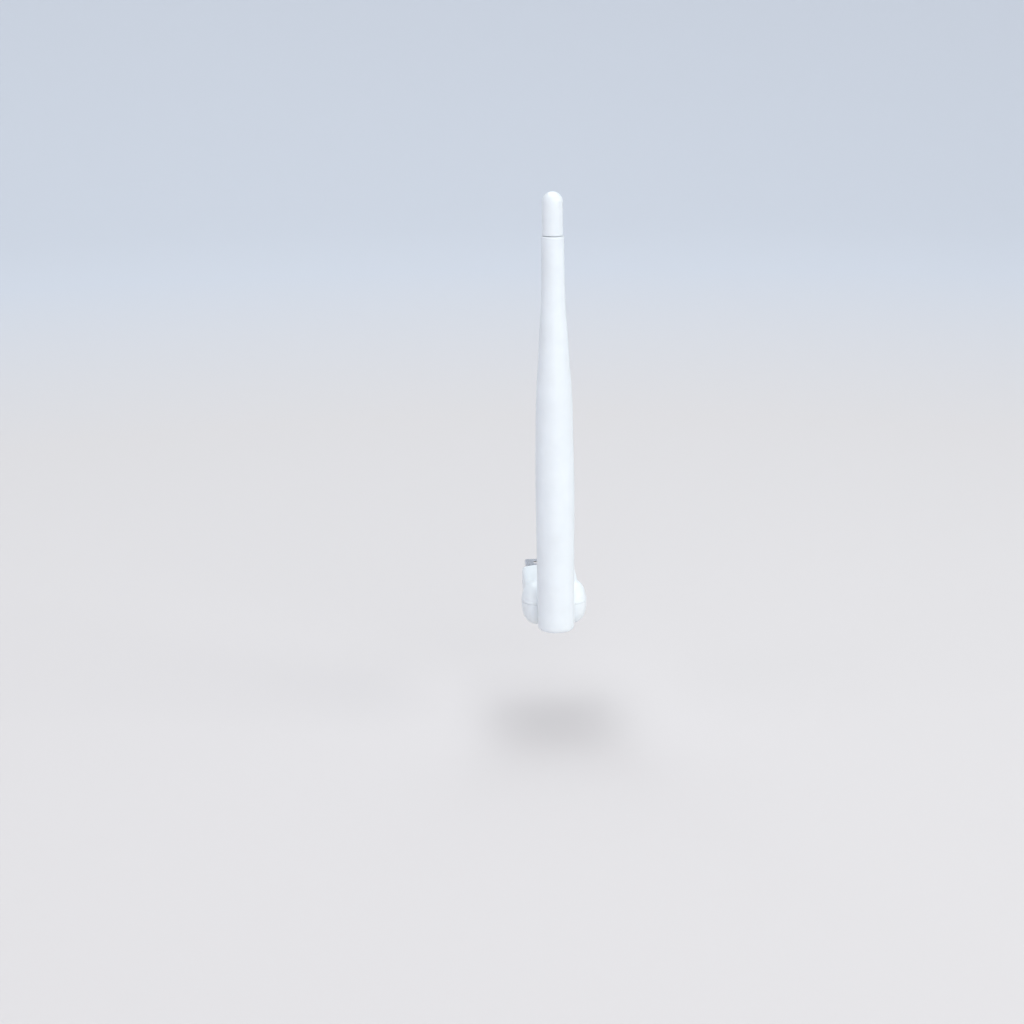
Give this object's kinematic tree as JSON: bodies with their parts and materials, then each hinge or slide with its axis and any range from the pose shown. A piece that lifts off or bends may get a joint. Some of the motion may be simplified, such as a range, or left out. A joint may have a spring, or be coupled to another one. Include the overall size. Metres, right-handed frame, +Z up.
{
  "type": "usb wifi adapter",
  "caption": "USB-A wireless network stick with a tapered fold-out antenna hinged between two round cheeks.",
  "frame": {"origin": "middle of the housing's plug-end face, on the plug's axis", "axes": "+Y towards the plug's tip, +X along the hinge, +Z up along the upright antenna"},
  "size_m": [0.0174, 0.0521, 0.117],
  "materials": {
    "housing_plastic": "satin white moulding",
    "antenna_plastic": "satin white moulding",
    "plug_steel": "bright nickel-plated sheet",
    "tongue_plastic": "matte",
    "contact_gold": "gold flash",
    "board_laminate": "solder mask",
    "chip_black": "matte",
    "tin_plate": "satin",
    "ceramic": "matte",
    "led_lens": "clear",
    "coax_jacket": "satin",
    "sleeve_brass": "satin",
    "copper_wire": "satin",
    "hinge_steel": "turned",
    "washer_rubber": "matte",
    "spacer_foam": "matte"
  },
  "bodies": {
    "stick": {"upper_housing": "housing_plastic", "lower_housing": "housing_plastic", "usb_shell": "plug_steel", "usb_tongue": "tongue_plastic", "usb_contact_1": "contact_gold", "usb_contact_2": "contact_gold", "usb_contact_3": "contact_gold", "usb_contact_4": "contact_gold", "circuit_board": "board_laminate", "rf_shield_can": "tin_plate", "wifi_chip": "chip_black", "crystal": "tin_plate", "status_led": "led_lens", "voltage_regulator": "chip_black", "memory_chip": "chip_black", "power_inductor": "chip_black", "capacitor_1": "ceramic", "capacitor_2": "ceramic", "capacitor_3": "ceramic", "capacitor_4": "ceramic", "coax_in_stick": "coax_jacket", "friction_washer_left": "washer_rubber", "friction_washer_right": "washer_rubber"},
    "antenna": {"antenna_radome": "antenna_plastic", "tip_cap": "antenna_plastic", "coax_in_antenna": "coax_jacket", "dipole_sleeve": "sleeve_brass", "radiator_wire": "copper_wire", "spacer_lower": "spacer_foam", "spacer_upper": "spacer_foam", "hinge_pin_left": "hinge_steel", "hinge_pin_right": "hinge_steel"}
  },
  "joints": [
    {"name": "antenna_fold", "type": "hinge", "parent": "stick", "child": "antenna", "pos_m": [0, -0.026, 0], "axis": [1, 0, 0], "range_deg": [-90, 90]}
  ]
}
